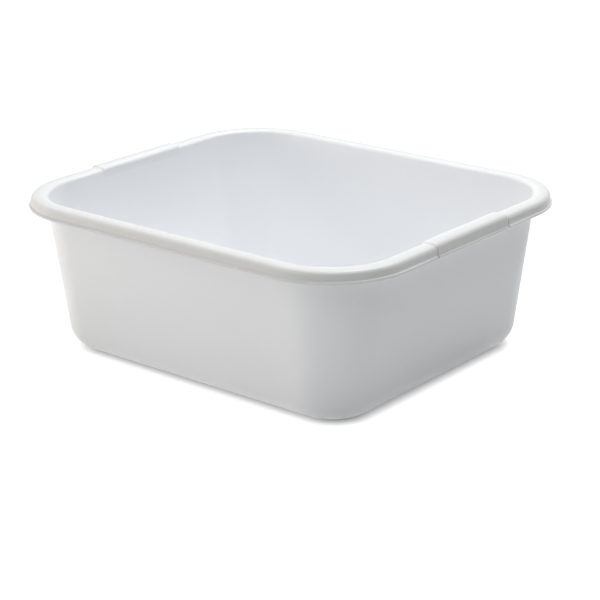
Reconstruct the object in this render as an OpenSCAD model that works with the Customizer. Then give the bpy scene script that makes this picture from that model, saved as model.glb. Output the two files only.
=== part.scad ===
// Washing up bowl: a deep rounded-rectangular basin moulded in one shot of white plastic.
// The moulding is drawn as its own regions, which meet face to face: the floor and the ring
// that it stands on, four walls and four corners with their curved heels, the rolled rim with
// its skirt and lip bead, and a raised hand grip in the middle of each short side.
// +X runs along the bowl, +Z is up, and the origin is under the middle of the bowl.

/* [Overall size] */
// Length over the lip of the rim
rim_length = 368; // [330:1:460]
// Width over the lip of the rim
rim_width = 317; // [280:1:400]
// Height of the plain rim above the surface that the bowl stands on
rim_height = 133.5; // [100:0.1:170]
// Corner radius of the lip, seen from above
corner_radius = 69; // [64:1:110]

/* [Basin] */
// Thickness of the walls, the heel and the rim
wall = 2.3; // [1.8:0.1:2.8]
// Lean of the walls away from vertical, in degrees
wall_lean = 7.4; // [4:0.1:10]
// Inside radius of the heel, where the walls turn in to the floor
heel_bend = 20.2; // [12:0.1:26]
// Thickness of the floor panel
floor_thickness = 2.5; // [1.8:0.1:4]

/* [Foot ring] */
// Width of the flat ring that the bowl stands on
foot_ring_width = 12; // [6:1:20]
// Height of the floor panel's underside above the ring's
foot_recess = 1; // [0.4:0.1:1.6]

/* [Rim] */
// Distance from the lip in to the outside of the wall, measured level with the lip
rim_reach = 14.8; // [12:0.1:20]
// Depth of the rim from its crown down to the underside of the lip
rim_depth = 9.8; // [8:0.1:13]
// Inside radius where the wall turns out into the rim
shoulder_bend = 0.9; // [0.4:0.1:2]
// Inside radius where the rim turns down into its skirt
fold_bend = 1.8; // [0.8:0.1:2.4]
// Lean of the skirt away from vertical, in degrees
skirt_lean = 6; // [2:0.5:10]
// Height of the bead along the lower edge of the skirt
lip_bead = 2.4; // [1.4:0.1:2.8]
// How far the bead stands out from the skirt
lip_flare = 1.1; // [0.8:0.1:1.8]

/* [Hand grips] */
// Length of each grip along its short side
grip_length = 98; // [70:1:130]
// Height of a grip's crown above the plain rim
grip_raise = 1.5; // [0.8:0.1:2.5]
// How far a grip's outer face stands out from the skirt
grip_proud = 0.5; // [0.2:0.1:0.8]
// How far a grip's crown reaches in past the plain rim
grip_inset = 0.6; // [0.6:0.1:3]

/* [Hidden] */
$fn = 96;

WHITE = [0.94, 0.95, 0.95];
RIM_WHITE = [0.97, 0.97, 0.97];
GRIP_WHITE = [0.91, 0.92, 0.93];

// Turn about Z that carries a run from the +X side to each side of the bowl
RIGHT = 0;
BACK = 90;
LEFT = 180;
FRONT = 270;

// Sections are drawn in a plane whose first axis points out of the bowl, with zero at the
// lip, and whose second axis is the height.
lip_z = rim_height - rim_depth;
wall_out = [cos(wall_lean), -sin(wall_lean)];
skirt_out = [cos(skirt_lean), sin(skirt_lean)];

// Heel: the curve between the foot ring and a wall
heel_radius = heel_bend + wall;
foot_line = -rim_reach - lip_z * tan(wall_lean);
heel_at = [foot_line - heel_radius * (1 - sin(wall_lean)) / cos(wall_lean), heel_radius];

// Shoulder: the curve from a wall's inside face out over the rim
shoulder_radius = shoulder_bend + wall;
inner_line = foot_line - wall / cos(wall_lean);
shoulder_z = rim_height - shoulder_radius;
shoulder_x = inner_line + (shoulder_radius + shoulder_z * sin(wall_lean)) / cos(wall_lean);
shoulder_at = [shoulder_x, shoulder_z];
wall_run = (shoulder_at - heel_at) * [sin(wall_lean), cos(wall_lean)];
crown_underside = rim_height - wall;

// Fold: the curve from the rim's crown down into the skirt
fold_radius = fold_bend + wall;
fold_at = fold_centre(rim_height, lip_flare);
skirt_foot = [-lip_flare - wall / cos(skirt_lean), lip_z];

// Bead: where it starts inside the skirt, and the centre of its rounding
bead_root = [-lip_flare - wall / 2, lip_z];
bead_at = [-lip_bead / 2, lip_z + lip_bead / 2];

// Grip: the same folds, standing a little outside the plain rim
grip_top = rim_height + grip_raise;
grip_fold_at = fold_centre(grip_top, lip_flare - grip_proud);
grip_inner_x = (shoulder_at - shoulder_radius * wall_out)[0] - grip_inset;
grip_inner_z = (grip_inner_x - inner_line) / tan(wall_lean);
grip_shoulder_at = [grip_inner_x + shoulder_radius, grip_top - shoulder_radius];

// Centre of the fold for a crown height and for how far the skirt's foot lies in from the lip
function fold_centre(crown, foot) =
    let (z = crown - fold_radius)
    [-foot - (fold_radius + (z - lip_z) * sin(skirt_lean)) / cos(skirt_lean), z];

// Point of an outer face at the middle of the bead, for how far its foot lies in from the lip
function skirt_face_foot(foot) = [-foot - (lip_bead / 2) * tan(skirt_lean), bead_at[1]];

// Distance from the middle of the bowl to the lip of a side, and half a side's straight length
function lip_distance(side) = (side == RIGHT || side == LEFT ? rim_length : rim_width) / 2;
function half_run(side) = (side == RIGHT || side == LEFT ? rim_width : rim_length) / 2 - corner_radius;

// Wedge between two angles, long enough to cut a circle of radius r
module wedge(r, from, to) {
    a = 2 * r * [cos(from), sin(from)];
    b = 2 * r * [cos(to), sin(to)];
    polygon([[0, 0], a, a + b, b]);
}

// Rectangle between two opposite corners of a section
module slab(low, high) {
    polygon([low, [high[0], low[1]], high, [low[0], high[1]]]);
}

// Curved strip of the moulding's section, one wall thick
module bend(centre, inside, from, to) {
    translate(centre) intersection() {
        difference() {
            circle(inside + wall);
            circle(inside);
        }
        wedge(inside + wall, from, to);
    }
}

// Round corner of a section, filled to its centre
module pie(centre, r, from, to) {
    translate(centre) intersection() {
        circle(r);
        wedge(r, from, to);
    }
}

// Section of a wall, from the foot ring up to the rim, drawn square to the leaning wall
module wall_section() {
    translate(heel_at) rotate(-wall_lean) {
        bend([0, 0], heel_bend, wall_lean - 90, 0);
        translate([heel_bend, 0]) square([wall, wall_run]);
    }
}

// Section of the plain rim: shoulder, crown and fold
module rim_section() {
    bend(shoulder_at, shoulder_bend, 90, 180 - wall_lean);
    slab([shoulder_at[0], crown_underside], [fold_at[0], rim_height]);
    bend(fold_at, fold_bend, skirt_lean, 90);
}

// Section of the bead, from inside the skirt out to the lip
module bead_section() {
    slab(bead_root, [bead_at[0], lip_z + lip_bead]);
    pie(bead_at, lip_bead / 2, -90, 0);
    pie(bead_at, lip_bead / 2, 0, 90);
}

// Section of the skirt with its bead
module skirt_section() {
    polygon([
        skirt_foot,
        bead_root,
        [bead_root[0], bead_at[1]],
        skirt_face_foot(lip_flare),
        fold_at + fold_radius * skirt_out,
        fold_at + fold_bend * skirt_out
    ]);
    bead_section();
}

// Section of a grip: crown, outer face and bead in one, over the same channel as the plain rim
module grip_section() {
    difference() {
        union() {
            polygon([
                [grip_inner_x, grip_inner_z],
                shoulder_at - shoulder_radius * wall_out,
                shoulder_at - shoulder_bend * wall_out,
                shoulder_at,
                [shoulder_at[0], crown_underside],
                [fold_at[0], crown_underside],
                fold_at,
                fold_at + fold_bend * skirt_out,
                skirt_foot,
                bead_root,
                [bead_root[0], bead_at[1]],
                skirt_face_foot(lip_flare - grip_proud),
                grip_fold_at + fold_radius * skirt_out,
                grip_fold_at,
                [grip_fold_at[0], grip_top],
                [grip_shoulder_at[0], grip_top],
                grip_shoulder_at,
                [grip_inner_x, grip_shoulder_at[1]]
            ]);
            pie(grip_shoulder_at, shoulder_radius, 90, 180);
            pie(grip_fold_at, fold_radius, skirt_lean, 90);
            bead_section();
        }
        translate(shoulder_at) circle(shoulder_bend);
        translate(fold_at) circle(fold_bend);
    }
}

// Sweeps a section along part of a side, between two distances from the side's middle
module along(side, from, to) {
    rotate(side) translate([lip_distance(side), 0, 0]) rotate([90, 0, 0])
        translate([0, 0, -to]) linear_extrude(to - from) children();
}

// Sweeps a section along the whole straight of a side
module whole_side(side) {
    along(side, -half_run(side), half_run(side)) children();
}

// Sweeps a section along both ends of a side, leaving the grip's place between them
module beside_grip(side) {
    along(side, -half_run(side), -grip_length / 2) children();
    along(side, grip_length / 2, half_run(side)) children();
}

// Turns a section through the corner that follows a side, going round from right to back
module round_corner(side) {
    rotate(side) translate([lip_distance(side) - corner_radius, half_run(side), 0])
        rotate_extrude(angle = 90) translate([corner_radius, 0]) children();
}

// Rounded rectangle that lies inset from the lip all the way round
module plan(inset) {
    r = max(corner_radius - inset, 1);
    x = rim_length / 2 - inset;
    y = rim_width / 2 - inset;
    square([2 * (x - r), 2 * y], center = true);
    square([2 * x, 2 * (y - r)], center = true);
    for (i = [-1, 1], j = [-1, 1]) translate([i * (x - r), j * (y - r)]) circle(r);
}

module floor_panel() {
    color(WHITE) translate([0, 0, foot_recess]) linear_extrude(floor_thickness)
        plan(foot_ring_width - heel_at[0]);
}

module foot_ring() {
    color(WHITE) linear_extrude(wall) difference() {
        plan(-heel_at[0]);
        plan(foot_ring_width - heel_at[0]);
    }
}

module front_wall() { color(WHITE) whole_side(FRONT) wall_section(); }
module back_wall() { color(WHITE) whole_side(BACK) wall_section(); }
module left_wall() { color(WHITE) whole_side(LEFT) wall_section(); }
module right_wall() { color(WHITE) whole_side(RIGHT) wall_section(); }

module front_left_corner() { color(WHITE) round_corner(LEFT) wall_section(); }
module front_right_corner() { color(WHITE) round_corner(FRONT) wall_section(); }
module back_left_corner() { color(WHITE) round_corner(BACK) wall_section(); }
module back_right_corner() { color(WHITE) round_corner(RIGHT) wall_section(); }

module front_rim() { color(RIM_WHITE) whole_side(FRONT) rim_section(); }
module back_rim() { color(RIM_WHITE) whole_side(BACK) rim_section(); }
module left_rim() { color(RIM_WHITE) beside_grip(LEFT) rim_section(); }
module right_rim() { color(RIM_WHITE) beside_grip(RIGHT) rim_section(); }

module front_left_rim() { color(RIM_WHITE) round_corner(LEFT) rim_section(); }
module front_right_rim() { color(RIM_WHITE) round_corner(FRONT) rim_section(); }
module back_left_rim() { color(RIM_WHITE) round_corner(BACK) rim_section(); }
module back_right_rim() { color(RIM_WHITE) round_corner(RIGHT) rim_section(); }

module front_skirt() { color(RIM_WHITE) whole_side(FRONT) skirt_section(); }
module back_skirt() { color(RIM_WHITE) whole_side(BACK) skirt_section(); }
module left_skirt() { color(RIM_WHITE) beside_grip(LEFT) skirt_section(); }
module right_skirt() { color(RIM_WHITE) beside_grip(RIGHT) skirt_section(); }

module front_left_skirt() { color(RIM_WHITE) round_corner(LEFT) skirt_section(); }
module front_right_skirt() { color(RIM_WHITE) round_corner(FRONT) skirt_section(); }
module back_left_skirt() { color(RIM_WHITE) round_corner(BACK) skirt_section(); }
module back_right_skirt() { color(RIM_WHITE) round_corner(RIGHT) skirt_section(); }

module left_grip() { color(GRIP_WHITE) along(LEFT, -grip_length / 2, grip_length / 2) grip_section(); }
module right_grip() { color(GRIP_WHITE) along(RIGHT, -grip_length / 2, grip_length / 2) grip_section(); }

floor_panel();
foot_ring();
front_wall();
back_wall();
left_wall();
right_wall();
front_left_corner();
front_right_corner();
back_left_corner();
back_right_corner();
front_rim();
back_rim();
left_rim();
right_rim();
front_left_rim();
front_right_rim();
back_left_rim();
back_right_rim();
front_skirt();
back_skirt();
left_skirt();
right_skirt();
front_left_skirt();
front_right_skirt();
back_left_skirt();
back_right_skirt();
left_grip();
right_grip();
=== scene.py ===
# %% [markdown]
# # A washing up bowl in milky white polypropylene
#
# The real bowl is one injection moulding: hot plastic is pressed into a steel mould, and every
# wall comes out about as thick as its neighbours. It still has regions that a mould maker would
# name one by one: the floor, the ring that it stands on, walls and corners with their curved
# heels, the rolled rim, the skirt that hangs from it with a bead along its edge, and a raised
# hand grip on each short side.
#
# Each region is made here as a piece of its own. Every piece is drawn as a flat outline first,
# the cut face that a saw would show, and that outline is then swept along a side or round a
# corner. A cube that is bent into shape would never give walls of even thickness.

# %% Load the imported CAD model
import math

import bmesh
import bpy
from mathutils import Matrix, Vector


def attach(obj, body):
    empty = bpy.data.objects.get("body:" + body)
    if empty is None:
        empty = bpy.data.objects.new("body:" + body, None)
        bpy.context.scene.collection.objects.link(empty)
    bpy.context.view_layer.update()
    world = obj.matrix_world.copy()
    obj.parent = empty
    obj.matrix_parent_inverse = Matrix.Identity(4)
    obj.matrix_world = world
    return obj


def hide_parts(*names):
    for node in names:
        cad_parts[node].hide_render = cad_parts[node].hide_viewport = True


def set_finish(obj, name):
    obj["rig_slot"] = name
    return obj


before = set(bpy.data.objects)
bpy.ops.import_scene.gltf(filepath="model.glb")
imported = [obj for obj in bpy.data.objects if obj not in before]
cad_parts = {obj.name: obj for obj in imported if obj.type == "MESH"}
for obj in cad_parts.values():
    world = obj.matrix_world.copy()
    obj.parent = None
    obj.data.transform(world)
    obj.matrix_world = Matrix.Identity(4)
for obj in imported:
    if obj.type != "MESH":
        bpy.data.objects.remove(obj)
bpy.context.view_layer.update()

# %% [markdown]
# ## Sizes
#
# The outlines repeat the sizes of the CAD model, in millimetres. They are drawn in a plane whose
# first axis points out of the bowl, with zero at the lip, and whose second axis is the height.
# Two neighbours never meet where a curve starts, because the light would show the join there.
# They meet on a flat, a little way past the curve, where both have the same normals. The laps and
# the cuts say how far past it.

# %% Sizes of the bowl
MM = 0.001
RIM_LENGTH = 368.0
RIM_WIDTH = 317.0
RIM_HEIGHT = 133.5
CORNER_RADIUS = 69.0
WALL = 2.3
WALL_LEAN = 7.4
HEEL_BEND = 20.2
FLOOR_THICKNESS = 2.5
RING_WIDTH = 12.0
FOOT_RECESS = 1.0
RIM_REACH = 14.8
RIM_DEPTH = 9.8
SHOULDER_BEND = 0.9
FOLD_BEND = 1.8
SKIRT_LEAN = 6.0
LIP_BEAD = 2.4
LIP_FLARE = 1.1
GRIP_LENGTH = 98.0
GRIP_RAISE = 1.5
GRIP_PROUD = 0.5
GRIP_INSET = 0.6

LAP = 2.0
CROWN_LAP = 1.0
WALL_CUT = 1.5
SKIRT_CUT = 0.8
print("Bowl:", RIM_LENGTH, "by", RIM_WIDTH, "by", RIM_HEIGHT, "mm over the plain rim")

# %% [markdown]
# ## Where the bends have their centres
#
# The heel, the shoulder and the fold are the three bends of the moulding. Each has one centre,
# and the inner and outer skins are arcs about it, which is what keeps the thickness even. The
# walls lean outwards so that the bowl lets go of its mould, and so that bowls stack.

# %% Centres of the bends
lean, tilt = math.radians(WALL_LEAN), math.radians(SKIRT_LEAN)
wall_out = Vector((math.cos(lean), -math.sin(lean)))
wall_up = Vector((math.sin(lean), math.cos(lean)))
skirt_out = Vector((math.cos(tilt), math.sin(tilt)))
skirt_down = Vector((math.sin(tilt), -math.cos(tilt)))

lip_z = RIM_HEIGHT - RIM_DEPTH
foot_line = -RIM_REACH - lip_z * math.tan(lean)
inner_line = foot_line - WALL / math.cos(lean)
heel_radius = HEEL_BEND + WALL
heel = Vector((foot_line - heel_radius * (1 - math.sin(lean)) / math.cos(lean), heel_radius))

shoulder_radius = SHOULDER_BEND + WALL
shoulder_z = RIM_HEIGHT - shoulder_radius
shoulder_x = inner_line + (shoulder_radius + shoulder_z * math.sin(lean)) / math.cos(lean)
shoulder = Vector((shoulder_x, shoulder_z))
wall_run = (shoulder - heel).dot(wall_up)

fold_radius = FOLD_BEND + WALL


def fold_centre(crown, foot):
    """Centre of the fold, for a crown height and for how far the skirt's foot is from the lip."""
    z = crown - fold_radius
    return Vector((-foot - (fold_radius + (z - lip_z) * math.sin(tilt)) / math.cos(tilt), z))


fold = fold_centre(RIM_HEIGHT, LIP_FLARE)
skirt_foot = Vector((-LIP_FLARE - WALL / math.cos(tilt), lip_z))
bead = Vector((-LIP_BEAD / 2, lip_z + LIP_BEAD / 2))
print("heel", heel[:], "shoulder", shoulder[:], "fold", fold[:])

# %% [markdown]
# ## Drawing an outline with a pen
#
# An outline is drawn as with a pen: straight on to a point, or round a centre. The straight
# moves extrude the last vertex, and the bends spin it, so an arc has as many points as it needs
# and no list of coordinates is worked out by hand. Each vertex keeps its number in the outline,
# which helps later, where a grip rises out of the plain rim.

# %% Pen moves
BEND_STEP = 7.5


def to(x, z):
    """A straight line to a place."""
    return ("to", x, z)


def at(point):
    """A straight line to a point that was worked out before."""
    return to(point[0], point[1])


def bend(centre, degrees):
    """An arc about a centre; clockwise is positive, with the bowl's outside on the right."""
    return ("bend", centre[0], centre[1], degrees, max(3, math.ceil(abs(degrees) / BEND_STEP)))


def draw_outline(bm, moves):
    """Draws the moves as a closed loop of edges and fills it with one face."""
    number = bm.verts.layers.int.new("outline")
    pen = first = bm.verts.new((moves[0][1], 0, moves[0][2]))
    for move in moves[1:]:
        if move[0] == "to":
            pen = bmesh.ops.extrude_vert_indiv(bm, verts=[pen])["verts"][0]
            pen.co = (move[1], 0, move[2])
        else:
            x, z, degrees, steps = move[1:]
            spun = bmesh.ops.spin(
                bm, geom=[pen], cent=(x, 0, z), axis=(0, 1, 0), angle=math.radians(degrees),
                steps=steps)
            pen = next(g for g in spun["geom_last"] if isinstance(g, bmesh.types.BMVert))
    bm.edges.new((pen, first))
    for n, vert in enumerate(bm.verts):
        vert[number] = n
    return bmesh.ops.contextual_create(bm, geom=bm.edges[:])["faces"][0]


print("Bends have a point every", BEND_STEP, "degrees or so")

# %% [markdown]
# ## Sweeping an outline
#
# Spin does both kinds of sweep. With an angle it turns the face about the corner's axis, and
# with an angle of zero and a step it carries the face straight on. The corner pieces start and
# end with a short straight, the lap, so that they also meet the walls on a flat. The foot ring
# and the floor are closed loops, which go all the way round and are welded where they end.

# %% Sweeps
CORNER_STEPS = 36
SIDES = {"right": 0, "back": 90, "left": 180, "front": 270}


def lip_distance(side):
    """How far the lip of a side lies from the middle of the bowl."""
    return (RIM_LENGTH if side in ("right", "left") else RIM_WIDTH) / 2


def half_run(side):
    """Half the length of a side between its two corners."""
    return (RIM_WIDTH if side in ("right", "left") else RIM_LENGTH) / 2 - CORNER_RADIUS


def sweep(bm, geom, travel=(0, 0, 0), centre=(0, 0, 0), degrees=0):
    """Carries the end face on by a travel, or round a vertical axis, and returns the new end."""
    return bmesh.ops.spin(
        bm, geom=geom, cent=centre, axis=(0, 0, 1), angle=math.radians(degrees),
        dvec=Vector(travel), steps=CORNER_STEPS if degrees else 1)["geom_last"]


print("Half lengths of the straights:", half_run("front"), "and", half_run("right"), "mm")

# %% A straight, a corner and a whole loop
WELD = 0.001


def place(bm, side):
    """Moves a piece from the drawing plane out to its side of the bowl."""
    turn = Matrix.Rotation(math.radians(SIDES[side]), 4, "Z")
    bmesh.ops.transform(
        bm, matrix=turn @ Matrix.Translation((lip_distance(side), 0, 0)), verts=bm.verts)


def outline_at(bm, moves, y):
    """Draws an outline and moves it to its start, at a distance from the middle of its side."""
    face = draw_outline(bm, moves)
    bmesh.ops.translate(bm, vec=(0, y, 0), verts=face.verts)
    return [face, *face.edges, *face.verts]


def straight(moves, side, start, end):
    """Carries an outline along a side, from start to end."""
    bm = bmesh.new()
    sweep(bm, outline_at(bm, moves, start), travel=(0, end - start, 0))
    place(bm, side)
    return bm


def round_corner(moves, side):
    """Turns an outline through the corner that follows a side, going round anticlockwise."""
    bm = bmesh.new()
    run = half_run(side)
    end = sweep(bm, outline_at(bm, moves, run - LAP), travel=(0, LAP, 0))
    end = sweep(bm, end, centre=(-CORNER_RADIUS, run, 0), degrees=90)
    sweep(bm, end, travel=(-LAP, 0, 0))
    place(bm, side)
    return bm


def all_the_way_round(bm, geom):
    """Carries geometry along the four sides and round the four corners, back to where it was."""
    for side, degrees in SIDES.items():
        turn = Matrix.Rotation(math.radians(degrees), 3, "Z")
        run = turn @ Vector((0, 2 * half_run(side), 0))
        axis = turn @ Vector((lip_distance(side) - CORNER_RADIUS, half_run(side), 0))
        geom = sweep(bm, geom, travel=run)
        geom = sweep(bm, geom, centre=axis, degrees=90)
    bmesh.ops.remove_doubles(bm, verts=bm.verts, dist=WELD)


print("A corner turns in", CORNER_STEPS, "steps of", 90 / CORNER_STEPS, "degrees")

# %% [markdown]
# ## Turning a sweep into a piece of the bowl
#
# The faces are smooth, but an edge that turns more sharply than a moulded radius stays crisp, so
# the cut faces never bend the light on the skin next to them. Each piece rides on the bowl's one
# body, says which CAD node it stands for, and which finish of the record it takes.

# %% Finishing a piece
CRISP = math.radians(50)
PIECE_WELD = 0.0005
pieces = {}


def finish_piece(bm, name, slot):
    """Makes an object of a mesh that was drawn in millimetres; its CAD node has the same name."""
    bmesh.ops.remove_doubles(bm, verts=bm.verts, dist=PIECE_WELD)
    bmesh.ops.recalc_face_normals(bm, faces=bm.faces)
    for face in bm.faces:
        face.smooth = True
    for edge in bm.edges:
        edge.smooth = len(edge.link_faces) == 2 and edge.calc_face_angle() < CRISP
    bmesh.ops.scale(bm, vec=(MM, MM, MM), verts=bm.verts)
    mesh = bpy.data.meshes.new(name + "_moulding")
    bm.to_mesh(mesh)
    bm.free()
    piece = bpy.data.objects.new(name + "_moulding", mesh)
    bpy.context.scene.collection.objects.link(piece)
    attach(piece, "root")
    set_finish(piece, slot)
    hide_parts(name)
    pieces[name] = piece


print("Edges stay crisp above", round(math.degrees(CRISP)), "degrees")

# %% [markdown]
# ## Walls and corners
#
# A wall starts on the flat of the foot ring, turns up through the heel and runs straight to the
# rim. The heel is what makes the bowl easy to wipe out. Its outline is the same all the way
# round, so four straights and four corners share it.

# %% Outline of a wall
wall_top = wall_run - WALL_CUT
wall_outline = [
    to(heel[0] - LAP, 0), to(heel[0], 0),
    bend(heel, WALL_LEAN - 90),
    at(heel + wall_out * heel_radius + wall_up * LAP),
    at(heel + wall_out * heel_radius + wall_up * wall_top),
    at(heel + wall_out * HEEL_BEND + wall_up * wall_top),
    at(heel + wall_out * HEEL_BEND + wall_up * LAP),
    at(heel + wall_out * HEEL_BEND),
    bend(heel, 90 - WALL_LEAN),
    to(heel[0] - LAP, WALL),
]
print("The wall's flat is", round(wall_run, 1), "mm long")

# %% Four walls and four corners
CORNERS = {"right": "back_right", "back": "back_left", "left": "front_left", "front": "front_right"}


def straights_and_corners(moves, ending, corner_ending, slot):
    """Makes the four straights and the four corners of a region that goes all the way round."""
    for side, corner in CORNERS.items():
        run = half_run(side) - LAP
        finish_piece(straight(moves, side, -run, run), side + ending, slot)
        finish_piece(round_corner(moves, side), corner + corner_ending, slot)


straights_and_corners(wall_outline, "_wall", "_corner", "body_plastic")
print("Made", len(pieces), "pieces of wall")

# %% [markdown]
# ## Foot ring
#
# The bowl stands on a flat ring, so that a floor that has sagged a little in the mould still
# doesn't rock. The floor panel inside it lies a millimetre higher. Seen from above the ring is a
# shallow channel round the floor. Its outline has a step at the top and at the bottom, and a
# vertex bevel rounds those four corners of the outline before it is swept, which is simpler than
# rounding the long edges afterwards.

# %% Outline of the foot ring
ring_in = heel[0] - RING_WIDTH
floor_top = FOOT_RECESS + FLOOR_THICKNESS
ring_outline = [
    to(heel[0] - LAP, 0), to(ring_in, 0), to(ring_in, FOOT_RECESS), to(ring_in - LAP, FOOT_RECESS),
    to(ring_in - LAP, floor_top), to(ring_in, floor_top), to(ring_in, WALL),
    to(heel[0] - LAP, WALL),
]
STEP_CORNERS = 1, 2, 5, 6
STEP_ROUNDING = 0.45


def round_outline(bm, numbers, offset):
    """Rounds the numbered corners of an outline in the drawing plane."""
    number = bm.verts.layers.int["outline"]
    chosen = [v for v in bm.verts if v[number] in numbers]
    bmesh.ops.bevel(
        bm, geom=chosen, offset=offset, offset_type="OFFSET", segments=4, profile=0.5,
        affect="VERTICES", material=-1)


print("The ring is", RING_WIDTH, "mm wide, and its steps are rounded by", STEP_ROUNDING, "mm")

# %% The ring in one piece
bm = bmesh.new()
draw_outline(bm, ring_outline)
round_outline(bm, STEP_CORNERS, STEP_ROUNDING)
bmesh.ops.translate(bm, vec=(lip_distance("right"), -half_run("right"), 0), verts=bm.verts)
all_the_way_round(bm, bm.faces[:] + bm.edges[:] + bm.verts[:])
# The outline's own face lies inside the ring now. All the others have four corners.
buried = [f for f in bm.faces if len(f.verts) > 4]
bmesh.ops.delete(bm, geom=buried, context="FACES_ONLY")
finish_piece(bm, "foot_ring", "body_plastic")
print("Foot ring: its ends are welded, and faces deleted inside it:", len(buried))

# %% [markdown]
# ## Floor panel
#
# The floor is a flat plate with rounded corners. Its edge is drawn by carrying one vertex round
# the same path as every sweep, the loop is filled, and the face is extruded to its thickness.
# Hot plastic enters the mould in the middle of the underside, and leaves the stub of the gate
# in a shallow round mark. Mark and stub are low cones that root in the plate.

# %% The floor
floor_inset = ring_in - LAP
bm = bmesh.new()
start = bm.verts.new((lip_distance("right") + floor_inset, -half_run("right"), FOOT_RECESS))
all_the_way_round(bm, [start])
plate = bmesh.ops.contextual_create(bm, geom=bm.edges[:])["faces"]
raised = bmesh.ops.extrude_face_region(bm, geom=plate)["geom"]
top = [g for g in raised if isinstance(g, bmesh.types.BMVert)]
bmesh.ops.translate(bm, vec=(0, 0, FLOOR_THICKNESS), verts=top)
print("The plate has", len(top), "points along its edge")

# %% The gate mark
GATE_MARK, GATE_STUB = (7.0, 6.6, 0.25), (1.4, 1.1, 0.7)
GATE_ROOT = 0.4
GATE_SIDES = 48

for radius, tip, drop in (GATE_MARK, GATE_STUB):
    bmesh.ops.create_cone(
        bm, cap_ends=True, segments=GATE_SIDES, radius1=tip, radius2=radius,
        depth=drop + GATE_ROOT,
        matrix=Matrix.Translation((0, 0, FOOT_RECESS + (GATE_ROOT - drop) / 2)))
finish_piece(bm, "floor_panel", "body_plastic")
print("Floor panel with its gate mark,", 2 * GATE_MARK[0], "mm wide")

# %% [markdown]
# ## Rim
#
# The rim stiffens the bowl and is what the hands find. The wall turns out over a tight
# shoulder, runs level as the crown, and turns down again at the fold. The outline starts on the
# flat of the wall and ends on the flat of the skirt.

# %% Outline of the rim
crown_under = RIM_HEIGHT - WALL
rim_outline = [
    at(shoulder - wall_out * shoulder_radius - wall_up * WALL_CUT),
    at(shoulder - wall_out * shoulder_radius),
    bend(shoulder, 90 - WALL_LEAN),
    to(shoulder[0] + CROWN_LAP, RIM_HEIGHT), to(fold[0] - CROWN_LAP, RIM_HEIGHT),
    to(fold[0], RIM_HEIGHT),
    bend(fold, 90 - SKIRT_LEAN),
    at(fold + skirt_out * fold_radius + skirt_down * SKIRT_CUT),
    at(fold + skirt_out * FOLD_BEND + skirt_down * SKIRT_CUT),
    at(fold + skirt_out * FOLD_BEND),
    bend(fold, SKIRT_LEAN - 90),
    to(shoulder[0], crown_under),
    bend(shoulder, WALL_LEAN - 90),
    at(shoulder - wall_out * SHOULDER_BEND - wall_up * WALL_CUT),
]
print("The crown is level for", round(fold[0] - shoulder[0], 1), "mm")

# %% [markdown]
# ## Skirt and bead
#
# The skirt hangs from the fold and ends in a rounded bead, which takes the sharpness off the
# edge under the fingers. The bead catches the light on its upper half and turns away from it
# below, and that gives the thin light and dark lines along the foot of the rim.

# %% Outline of the skirt
BEAD_START = math.radians(75)
BEAD_FILLET = 0.3
SKIRT_END = 0.35
bead_start = bead + LIP_BEAD / 2 * Vector((math.cos(BEAD_START), math.sin(BEAD_START)))
bead_sweep = 90 + math.degrees(BEAD_START)


def skirt_face(foot, z):
    """Point of a skirt's outer face at a height, for how far its foot lies in from the lip."""
    return Vector((-foot - (z - lip_z) * math.tan(tilt), z))


skirt_outline = [
    at(fold + skirt_out * fold_radius + skirt_down * SKIRT_CUT),
    at(skirt_face(LIP_FLARE, lip_z + LIP_BEAD + BEAD_FILLET)),
    at(bead_start),
    bend(bead, bead_sweep),
    at(skirt_foot + Vector((SKIRT_END, 0))), at(skirt_foot - skirt_down * SKIRT_END),
    at(fold + skirt_out * FOLD_BEND + skirt_down * SKIRT_CUT),
]
print("The skirt hangs", RIM_DEPTH, "mm below the crown")

# %% Rims and skirts along the sides and round the corners
grip_end = GRIP_LENGTH / 2


def beside_grip(moves, side):
    """Two straights in one mesh, which leave the grip's place between them."""
    run = half_run(side) - LAP
    bm = straight(moves, side, -run, -grip_end)
    other = straight(moves, side, grip_end, run)
    spare = bpy.data.meshes.new("spare")
    other.to_mesh(spare)
    other.free()
    bm.from_mesh(spare)
    bpy.data.meshes.remove(spare)
    return bm


for moves, ending in ((rim_outline, "_rim"), (skirt_outline, "_skirt")):
    for side, corner in CORNERS.items():
        run = half_run(side) - LAP
        if side in ("front", "back"):
            bm = straight(moves, side, -run, run)
        else:
            bm = beside_grip(moves, side)
        finish_piece(bm, side + ending, "rim_plastic")
        finish_piece(round_corner(moves, side), corner + ending, "rim_plastic")
print("Pieces so far:", len(pieces))

# %% [markdown]
# ## Hand grips
#
# In the middle of each short side the rim stands a little higher and wider, with a short step at
# both ends, so that wet hands know where to hold. The outline is drawn twice with the same
# moves: once with the sizes of the grip, and once with those of the plain rim. The grip is swept
# from the first, and near its ends every vertex is moved towards its twin in the second, along a
# soft S. That rounds the step and still lets the grip meet the plain rim exactly. A narrow slot
# runs down the skirt and through the bead at each end, where the mould's insert for the grip
# meets the rest of the mould.

# %% Outline of a grip, and its twin on the plain rim
SUNK = 0.4
SKIRT_STOPS = 2.6, 2.2, BEAD_FILLET
grip_top = RIM_HEIGHT + GRIP_RAISE
grip_fold = fold_centre(grip_top, LIP_FLARE - GRIP_PROUD)
grip_x = (shoulder - shoulder_radius * wall_out)[0] - GRIP_INSET
grip_z = (grip_x - inner_line) / math.tan(lean)
grip_shoulder = Vector((grip_x + shoulder_radius, grip_top - shoulder_radius))
wall_root = Vector((grip_x, grip_z))


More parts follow.
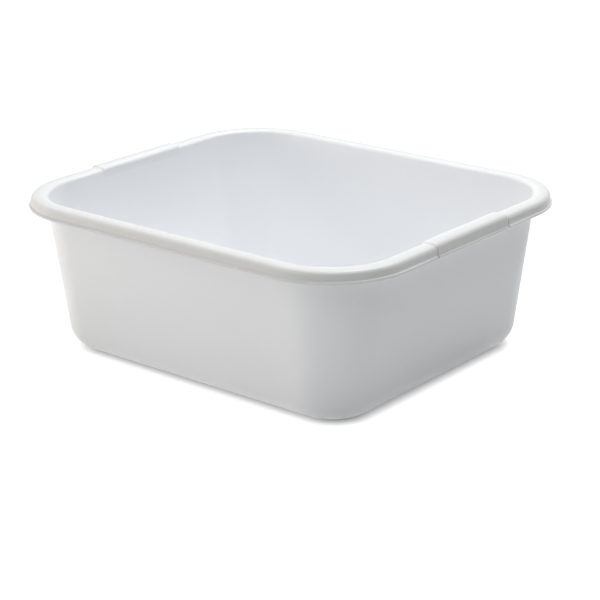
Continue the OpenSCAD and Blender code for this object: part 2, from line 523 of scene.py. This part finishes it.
def grip_outline(face_up, centre_in, turn_in, centre_out, top, foot):
    """The closed outline of the rim where the grip is, from the wall to the bead."""
    slope = math.radians(90 - turn_in)
    side_start = centre_in - shoulder_radius * Vector((math.cos(slope), -math.sin(slope)))
    return [
        at(wall_root + wall_out * SUNK), at(wall_root), at(wall_root + face_up * LAP),
        at(side_start - face_up), at(side_start),
        bend(centre_in, turn_in),
        to(centre_in[0] + CROWN_LAP, top), to(centre_out[0] - CROWN_LAP, top),
        to(centre_out[0], top),
        bend(centre_out, 90 - SKIRT_LEAN),
        *(at(skirt_face(foot, lip_z + LIP_BEAD + stop)) for stop in SKIRT_STOPS),
        at(bead_start),
        bend(bead, bead_sweep),
        at(skirt_foot + Vector((SKIRT_END, 0))), at(skirt_foot - skirt_down * SKIRT_END),
        at(fold + skirt_out * FOLD_BEND),
        bend(fold, SKIRT_LEAN - 90),
        to(shoulder[0], crown_under),
        bend(shoulder, WALL_LEAN - 90),
        at(shoulder - wall_out * SHOULDER_BEND - wall_up * WALL_CUT),
        at(shoulder - wall_out * (shoulder_radius - SUNK) - wall_up * WALL_CUT),
    ]


raised_outline = grip_outline(
    Vector((0, 1)), grip_shoulder, 90, grip_fold, grip_top, LIP_FLARE - GRIP_PROUD)
plain_outline = grip_outline(wall_up, shoulder, 90 - WALL_LEAN, fold, RIM_HEIGHT, LIP_FLARE)
print("A grip is", GRIP_LENGTH, "mm long and stands", GRIP_RAISE, "mm above the rim")

# %% Cross-sections along a grip
STEP_RUN = 2.6
SLOT_FROM, SLOT_TO, SLOT_EDGE, SLOT_DEPTH = 0.4, 2.6, 0.12, 0.9
SLOT_TOP, SLOT_FADE = lip_z + 8.0, 2.5
STATIONS = (
    0.2, SLOT_FROM, SLOT_FROM + SLOT_EDGE, 0.8, 1.15, 1.5, 1.85, 2.2, SLOT_TO - SLOT_EDGE,
    SLOT_TO, 4.0)


def outline_points(moves):
    """Where each numbered vertex of an outline lies."""
    bm = bmesh.new()
    draw_outline(bm, moves)
    number = bm.verts.layers.int["outline"]
    points = {v[number]: v.co.copy() for v in bm.verts}
    bm.free()
    return points


twin = outline_points(plain_outline)
print("A grip's outline has", len(twin), "points, and each end has", len(STATIONS), "sections")

# %% Both grips
OUTER_SKIN = skirt_foot[0] + 0.6


def shape_grip(bm):
    """Lets the grip sink into the plain rim at its ends, and cuts the slot beside each end."""
    number = bm.verts.layers.int["outline"]
    foot = LIP_FLARE - GRIP_PROUD
    for vert in bm.verts:
        from_end = grip_end - abs(vert.co.y)
        t = min(from_end / STEP_RUN, 1)
        share = t * t * (3 - 2 * t)
        plain = twin[vert[number]]
        vert.co.x += (plain.x - vert.co.x) * (1 - share)
        vert.co.z += (plain.z - vert.co.z) * (1 - share)
        in_slot = SLOT_FROM + SLOT_EDGE / 2 < from_end < SLOT_TO - SLOT_EDGE / 2
        if in_slot and vert.co.x > OUTER_SKIN and vert.co.z < SLOT_TOP:
            depth = SLOT_DEPTH * min((SLOT_TOP - vert.co.z) / SLOT_FADE, 1)
            face = skirt_face(foot, max(vert.co.z, lip_z))[0]
            vert.co.x = min(vert.co.x, face) - depth


for side in ("right", "left"):
    bm = bmesh.new()
    end = outline_at(bm, raised_outline, -grip_end)
    stops = [-grip_end + s for s in STATIONS]
    stops += [-stop for stop in reversed(stops)] + [grip_end]
    y = -grip_end
    for stop in stops:
        end = sweep(bm, end, travel=(0, stop - y, 0))
        y = stop
    shape_grip(bm)
    place(bm, side)
    finish_piece(bm, side + "_grip", "rim_plastic")
print("Pieces of the bowl:", len(pieces))

# %% [markdown]
# ## Plastic
#
# Polypropylene with a little white pigment takes hardly any light away: it scatters nearly all of
# it back, which is why the inside of the bowl glows so evenly. It feels slightly waxy, has a
# refractive index of about 1.49, and shows no hard highlight. One flat colour would look like
# paper, so the material is built from three things that a moulding shows: its pigment, its gloss
# and its relief. On the rim, the colour also carries painted shade. The patterns read Object
# coordinates, in metres, and a pattern's scale is 1000 over its size in millimetres.

# %% Helpers for the node trees
def srgb(code):
    """An sRGB hex colour as linear red, green, blue and alpha."""
    channels = [int(code[i:i + 2], 16) / 255 for i in (1, 3, 5)]
    linear = [c / 12.92 if c <= 0.04045 else ((c + 0.055) / 1.055) ** 2.4 for c in channels]
    return (*linear, 1.0)


def add_node(tree, kind, settings=None, links=None):
    """Adds a node, sets its properties, or its inputs by name or number, and links its inputs."""
    node = tree.nodes.new(kind)
    for key, value in (settings or {}).items():
        if isinstance(key, int) or key in node.inputs:
            node.inputs[key].default_value = value
        else:
            setattr(node, key, value)
    for key, output in (links or {}).items():
        tree.links.new(output, node.inputs[key])
    return node


print("Middle grey is", round(srgb("#808080")[0], 3), "in linear light")

# %% [markdown]
# ## Pigment, and painted shade on the rim
#
# The pigment flows with the plastic and leaves faint clouds, some centimetres wide, between two
# whites that are nearly the same. The rim is a touch greyer than the walls, and that grey is
# painted shade: a thin wall lets through a little light from its other side, and the folded rim
# doesn't. A translucent shader would draw a dark line wherever two pieces meet, so the shade is
# painted into the colour. It is strongest on the skirt and fades out across the crown, until the
# rim turns down into the wall and keeps the wall's unshaded white.
#
# The fade has to know how far out a point lies. Every outline of the bowl goes round the same four
# corner axes, so that is the distance from the rectangle that joins those axes.

# %% How far out a point lies
core = ((RIM_LENGTH / 2 - CORNER_RADIUS) * MM, (RIM_WIDTH / 2 - CORNER_RADIUS) * MM, 0)


def from_core(tree, spot):
    """Distance in plan from the rectangle that joins the four corner axes."""
    quadrant = add_node(tree, "ShaderNodeVectorMath", {"operation": "ABSOLUTE"}, {0: spot})
    beyond = add_node(
        tree, "ShaderNodeVectorMath", {"operation": "SUBTRACT", 1: core},
        {0: quadrant.outputs["Vector"]})
    outside = add_node(
        tree, "ShaderNodeVectorMath", {"operation": "MAXIMUM", 1: (0, 0, 0)},
        {0: beyond.outputs["Vector"]})
    level = add_node(
        tree, "ShaderNodeVectorMath", {"operation": "MULTIPLY", 1: (1, 1, 0)},
        {0: outside.outputs["Vector"]})
    distance = add_node(
        tree, "ShaderNodeVectorMath", {"operation": "LENGTH"}, {0: level.outputs["Vector"]})
    return distance.outputs["Value"]


print("The corner axes lie at", core[:2], "in metres")

# %% Pigment, and painted shade on the rim
CLOUD_MM = 70
# Where, in from the lip, the rim's painted shade fades out, and how late it does so.
RIM_SHADE_FROM, RIM_SHADE_TO, RIM_SHADE_EASE = -2.0, -15.5, 1.4


def pigment_and_rim_shade(tree, spot, pale, deep, inside):
    """Clouds between two whites, which turn to a third one inwards if that is given. On the rim the
    two whites are greyed by painted shade, and the third is the unshaded white of its inner edge.
    """
    clouds = add_node(
        tree, "ShaderNodeTexNoise", {"Scale": 1000 / CLOUD_MM, "Detail": 3.0}, {"Vector": spot})
    tint = add_node(
        tree, "ShaderNodeMix", {"data_type": "RGBA", 6: srgb(deep), 7: srgb(pale)},
        {"Factor": clouds.outputs["Fac"]})
    if not inside:
        return tint.outputs[2]
    # Painted shade: the rim's grey fades out inwards, to the unshaded white.
    inward = add_node(
        tree, "ShaderNodeMapRange",
        {"From Min": (CORNER_RADIUS + RIM_SHADE_FROM) * MM,
         "From Max": (CORNER_RADIUS + RIM_SHADE_TO) * MM},
        {"Value": from_core(tree, spot)})
    late = add_node(
        tree, "ShaderNodeMath", {"operation": "POWER", 1: RIM_SHADE_EASE},
        {0: inward.outputs["Result"]})
    both = add_node(
        tree, "ShaderNodeMix", {"data_type": "RGBA", 7: srgb(inside)},
        {"Factor": late.outputs["Value"], 6: tint.outputs[2]})
    return both.outputs[2]


print("The rim's grey fades out over", RIM_SHADE_FROM - RIM_SHADE_TO, "mm")

# %% [markdown]
# ## Gloss
#
# No moulding is equally smooth all over: patches a centimetre or so wide are a little waxier than
# the rest. Bowls are also stacked and pulled apart, which leaves faint upright scuffs. Those are a
# fine noise, stretched upright, of which only the highest peaks count.

# %% Gloss
GLOSS_MM, WAXY, DULL = 12, -0.05, 0.07
SCUFF_MM, SCUFF_STRETCH = 1.6, 0.04
SCUFF_FROM, SCUFF_TO, SCUFF_ROUGHNESS = 0.64, 0.76, 0.12


def gloss(tree, spot, roughness):
    """A roughness that varies in patches and is higher in the scuffs."""
    patches = add_node(
        tree, "ShaderNodeTexNoise", {"Scale": 1000 / GLOSS_MM, "Detail": 4.0}, {"Vector": spot})
    patchy = add_node(
        tree, "ShaderNodeMapRange", {"To Min": roughness + WAXY, "To Max": roughness + DULL},
        {"Value": patches.outputs["Fac"]})
    upright = add_node(
        tree, "ShaderNodeMapping", {"Scale": (1, 1, SCUFF_STRETCH)}, {"Vector": spot})
    scuffs = add_node(
        tree, "ShaderNodeTexNoise", {"Scale": 1000 / SCUFF_MM, "Detail": 1.0},
        {"Vector": upright.outputs["Vector"]})
    rubbed = add_node(
        tree, "ShaderNodeMapRange",
        {"From Min": SCUFF_FROM, "From Max": SCUFF_TO, "To Max": SCUFF_ROUGHNESS},
        {"Value": scuffs.outputs["Fac"]})
    rough = add_node(
        tree, "ShaderNodeMath", {"operation": "ADD"},
        {0: patchy.outputs["Result"], 1: rubbed.outputs["Result"]})
    return rough.outputs["Value"]


print("Scuffs are", SCUFF_MM, "mm wide and", round(SCUFF_MM / SCUFF_STRETCH), "mm long")

# %% [markdown]
# ## Relief
#
# Plastic shrinks as it cools, in some places a little more than in others, so a flat wall is
# slowly wavy. The mould's own grain is about 0.1 mm wide, too fine to show, so it is drawn at
# 1.2 mm. Both are so shallow that a bump on the normals is enough, and no vertex has to move.

# %% Relief
WAVE_MM, WAVE_DEPTH = 50, 0.35
GRAIN_MM = 1.2
BUMP_STRENGTH = 0.5


def relief(tree, spot, grain_depth):
    """Normals of a skin that is slowly wavy and finely grained."""
    waves = add_node(
        tree, "ShaderNodeTexNoise", {"Scale": 1000 / WAVE_MM, "Detail": 1.0}, {"Vector": spot})
    wavy = add_node(
        tree, "ShaderNodeBump", {"Strength": BUMP_STRENGTH, "Distance": WAVE_DEPTH * MM},
        {"Height": waves.outputs["Fac"]})
    grain = add_node(
        tree, "ShaderNodeTexNoise", {"Scale": 1000 / GRAIN_MM, "Detail": 2.0}, {"Vector": spot})
    grainy = add_node(
        tree, "ShaderNodeBump", {"Strength": BUMP_STRENGTH, "Distance": grain_depth * MM},
        {"Height": grain.outputs["Fac"], "Normal": wavy.outputs["Normal"]})
    return grainy.outputs["Normal"]


print("Waves are", WAVE_MM, "mm wide, and the grain", GRAIN_MM, "mm")

# %% [markdown]
# ## Two finishes of one plastic
#
# The part of the mould that forms the walls was spark-eroded, which gives a fine matt grain. The
# part for the rim was polished a little further, because hands go there. So there are two
# materials, which differ in their roughness and in how deep the grain is. The rim's whites are
# also greyer, and that grey is painted shade.

# %% The polypropylene of the walls and of the rim
PLASTIC_IOR = 1.49
WALL_PALE, WALL_DEEP, WALL_ROUGHNESS, WALL_GRAIN = "#FAFCFE", "#F8FAFD", 0.46, 0.03
# The rim's two whites are painted shade, greyer than the wall's because the folded rim lets no
# light through from its other side. Its inside white is the unshaded one, where the rim turns into
# the wall.
RIM_SHADED_PALE, RIM_SHADED_DEEP, RIM_ROUGHNESS, RIM_GRAIN = "#E5E6E5", "#E1E2E1", 0.38, 0.01
RIM_UNSHADED_INSIDE = "#F9FBFD"


def moulded_polypropylene(name, pale, deep, roughness, grain_depth, inside=None):
    """Satin moulded polypropylene, for one finish of the mould. On the rim, the whites that it is
    given are greyed by painted shade.
    """
    material = bpy.data.materials.new(name)
    material.use_nodes = True
    tree = material.node_tree
    tree.nodes.clear()
    spot = add_node(tree, "ShaderNodeTexCoord").outputs["Object"]
    plastic = add_node(
        tree, "ShaderNodeBsdfPrincipled", {"IOR": PLASTIC_IOR},
        {"Base Color": pigment_and_rim_shade(tree, spot, pale, deep, inside),
         "Roughness": gloss(tree, spot, roughness),
         "Normal": relief(tree, spot, grain_depth)})
    add_node(tree, "ShaderNodeOutputMaterial", None, {"Surface": plastic.outputs["BSDF"]})
    return material


finishes = {
    "body_plastic": moulded_polypropylene(
        "spark_eroded_polypropylene", WALL_PALE, WALL_DEEP, WALL_ROUGHNESS, WALL_GRAIN),
    "rim_plastic": moulded_polypropylene(
        "polished_polypropylene_with_painted_shade", RIM_SHADED_PALE, RIM_SHADED_DEEP, RIM_ROUGHNESS, RIM_GRAIN, RIM_UNSHADED_INSIDE),
}
for piece in pieces.values():
    piece.data.materials.append(finishes[piece["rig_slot"]])
print("Finishes:", ", ".join(m.name for m in finishes.values()))

# %% [markdown]
# ## Floor and room
#
# The bowl stands on a white sheet that is faintly lit from below, as photographers' tables are.
# That glow, and the lamplight that the sheet throws back, light the heel and the underside of the
# rim. In reflections the room and the sheet are plain white, and so they are to the camera, but
# for one thing: close to the foot of the bowl, the camera sees the white fade to a grey paper.
# That fade is painted shade round the foot, and the bowl's real shadow shows on the grey paper
# too. The painted shade reaches a couple of millimetres further on the right, away from the low
# lamp.

# %% Rays that are to see a white background
def white_to_eyes(tree):
    """1 for camera, glossy and transmitted rays, and 0 for the light that falls on things."""
    path = add_node(tree, "ShaderNodeLightPath")
    seen = add_node(
        tree, "ShaderNodeMath", {"operation": "ADD"},
        {0: path.outputs["Is Camera Ray"], 1: path.outputs["Is Glossy Ray"]})
    every = add_node(
        tree, "ShaderNodeMath", {"operation": "ADD", "use_clamp": True},
        {0: seen.outputs["Value"], 1: path.outputs["Is Transmission Ray"]})
    return every.outputs["Value"]


print("Camera, glossy and transmitted rays are to see white")

# %% White sheet
SHEET_REACH = 4.0

bm = bmesh.new()
bmesh.ops.create_grid(bm, x_segments=1, y_segments=1, size=SHEET_REACH)
sheet_mesh = bpy.data.meshes.new("white_sheet")
bm.to_mesh(sheet_mesh)
bm.free()
sheet = bpy.data.objects.new("white_sheet", sheet_mesh)
bpy.context.scene.collection.objects.link(sheet)
print("The sheet reaches", SHEET_REACH, "m to each side")

# %% White light of the sheet, which fades near the foot into painted shade
SHEET_GLOW = 0.04
# Painted shade round the foot: to the camera, the sheet's white fades out between these distances
# from the foot. The drift lets this painted shadow reach further on the right.
FOOT_SHADE_FROM, FOOT_SHADE_TO, FOOT_SHADE_LEVEL = 1.0, 19.0, 0.05
PAINTED_SHADOW_DRIFT = 2.0

paper = bpy.data.materials.new("white_paper")
paper.use_nodes = True
tree = paper.node_tree
tree.nodes.clear()
spot = add_node(tree, "ShaderNodeTexCoord").outputs["Object"]
drifted = add_node(
    tree, "ShaderNodeVectorMath", {"operation": "SUBTRACT", 1: (PAINTED_SHADOW_DRIFT * MM, 0, 0)},
    {0: spot})
foot_radius = CORNER_RADIUS + heel[0]
fade = add_node(
    tree, "ShaderNodeMapRange",
    {"From Min": (foot_radius + FOOT_SHADE_FROM) * MM, "From Max": (foot_radius + FOOT_SHADE_TO) * MM,
     "To Min": FOOT_SHADE_LEVEL, "To Max": 1.0},
    {"Value": from_core(tree, drifted.outputs["Vector"])})
eye = add_node(tree, "ShaderNodeLightPath").outputs["Is Camera Ray"]
white = add_node(
    tree, "ShaderNodeMix", {"data_type": "FLOAT", 2: 1.0},
    {"Factor": eye, 3: fade.outputs["Result"]})
strength = add_node(
    tree, "ShaderNodeMix", {"data_type": "FLOAT", 2: SHEET_GLOW},
    {"Factor": white_to_eyes(tree), 3: white.outputs[0]})
lit = add_node(
    tree, "ShaderNodeEmission", {"Color": srgb("#FFFFFF")}, {"Strength": strength.outputs[0]})
print("The white sheet fades near the foot, over", FOOT_SHADE_TO - FOOT_SHADE_FROM, "mm")

# %% Paper that takes the shadow, with painted shade for the camera
# The camera sees a darker paper than the lamps do. That is painted shade, and the real shadow under
# the foot shows on it as well.
PAPER, PAPER_SHADED_FOR_CAMERA = "#EBEBEB", "#8C8C8C"

colour = add_node(
    tree, "ShaderNodeMix", {"data_type": "RGBA", 6: srgb(PAPER), 7: srgb(PAPER_SHADED_FOR_CAMERA)},
    {"Factor": eye})
matt = add_node(tree, "ShaderNodeBsdfDiffuse", None, {"Color": colour.outputs[2]})
both = add_node(
    tree, "ShaderNodeAddShader", None, {0: matt.outputs["BSDF"], 1: lit.outputs["Emission"]})
add_node(tree, "ShaderNodeOutputMaterial", None, {"Surface": both.outputs["Shader"]})
sheet.data.materials.append(paper)
print("Paper:", PAPER, "to the bowl and", PAPER_SHADED_FOR_CAMERA, "to the camera")

# %% White room
world = bpy.data.worlds.new("white_room")
bpy.context.scene.world = world
world.use_nodes = True
tree = world.node_tree
tree.nodes.clear()
room = add_node(
    tree, "ShaderNodeBackground", {"Color": srgb("#FFFFFF")}, {"Strength": white_to_eyes(tree)})
add_node(tree, "ShaderNodeOutputWorld", None, {"Surface": room.outputs["Background"]})
print("The room is white to the camera, and the lamps give the light")

# %% [markdown]
# ## Lamps
#
# The photograph has broad soft light: most of it comes from above and a little behind, which
# makes the crown of the rim the brightest line, and a low lamp on the left makes the front wall
# lighter than the right one. Rendering is linear, so each lamp was rendered alone, and the
# strengths are those whose sum comes closest to the photograph's tones while the walls that the
# camera doesn't see stay below white too.

# %% Soft lamps
def towards(azimuth, elevation):
    """Unit vector away from the bowl; azimuth 0 is in front and 90 on the right."""
    a, e = math.radians(azimuth), math.radians(elevation)
    return Vector((math.sin(a) * math.cos(e), -math.cos(a) * math.cos(e), math.sin(e)))


LAMP_SIZE, LAMP_DISTANCE, LAMP_AIM = 1.2, 1.7, Vector((0, 0, 0.07))
LAMPS = {
    "overhead": (180, 70, 23.5, "#FFFFFF"),
    "low_left": (-60, 4, 11.9, "#FFF4E8"),
    "over_camera": (40, 60, 6.5, "#FFFFFF"),
    "front": (-10, 30, 4.5, "#FFFFFF"),
}
for name, (azimuth, elevation, watts, colour) in LAMPS.items():
    lamp = bpy.data.lights.new(name, "AREA")
    lamp.shape, lamp.size, lamp.energy, lamp.color = "DISK", LAMP_SIZE, watts, srgb(colour)[:3]
    holder = bpy.data.objects.new(name, lamp)
    holder.location = LAMP_AIM + towards(azimuth, elevation) * LAMP_DISTANCE
    holder.rotation_mode = "QUATERNION"
    holder.rotation_quaternion = (LAMP_AIM - holder.location).to_track_quat("-Z", "Y")
    bpy.context.scene.collection.objects.link(holder)
print("Lamps:", ", ".join(LAMPS))

# %% [markdown]
# ## Camera
#
# The camera's place was worked out from the edges of the bowl in the photograph: it looks at a
# corner from about 40 degrees round from the front and 19 degrees up. Its focal length is given
# in pixels of a square picture and turned into the millimetres of the lens.

# %% Camera
PICTURE = 600
SENSOR_WIDTH = 36.0
FOCAL_PIXELS = 1874.7
AZIMUTH, ELEVATION, DISTANCE = 39.94, 18.74, 1.5614
YAW, PITCH, ROLL = -0.28, 1.01, -0.73
LOOK_HEIGHT = 0.0668

back = towards(AZIMUTH + YAW, ELEVATION + PITCH)
right = (-back).cross(Vector((0, 0, 1))).normalized()
up = right.cross(-back)
roll = math.radians(ROLL)
right, up = (
    right * math.cos(roll) + up * math.sin(roll), up * math.cos(roll) - right * math.sin(roll))
lens = bpy.data.cameras.new("camera")
lens.sensor_width = SENSOR_WIDTH
lens.lens = FOCAL_PIXELS / PICTURE * SENSOR_WIDTH
camera = bpy.data.objects.new("camera", lens)
bpy.context.scene.collection.objects.link(camera)
turned = Matrix((right, up, back)).transposed().to_4x4()
camera.matrix_world = Matrix.Translation(
    towards(AZIMUTH, ELEVATION) * DISTANCE + Vector((0, 0, LOOK_HEIGHT))) @ turned
bpy.context.scene.camera = camera
bpy.context.scene.view_settings.view_transform = "Standard"
print("Lens", round(lens.lens, 1), "mm")
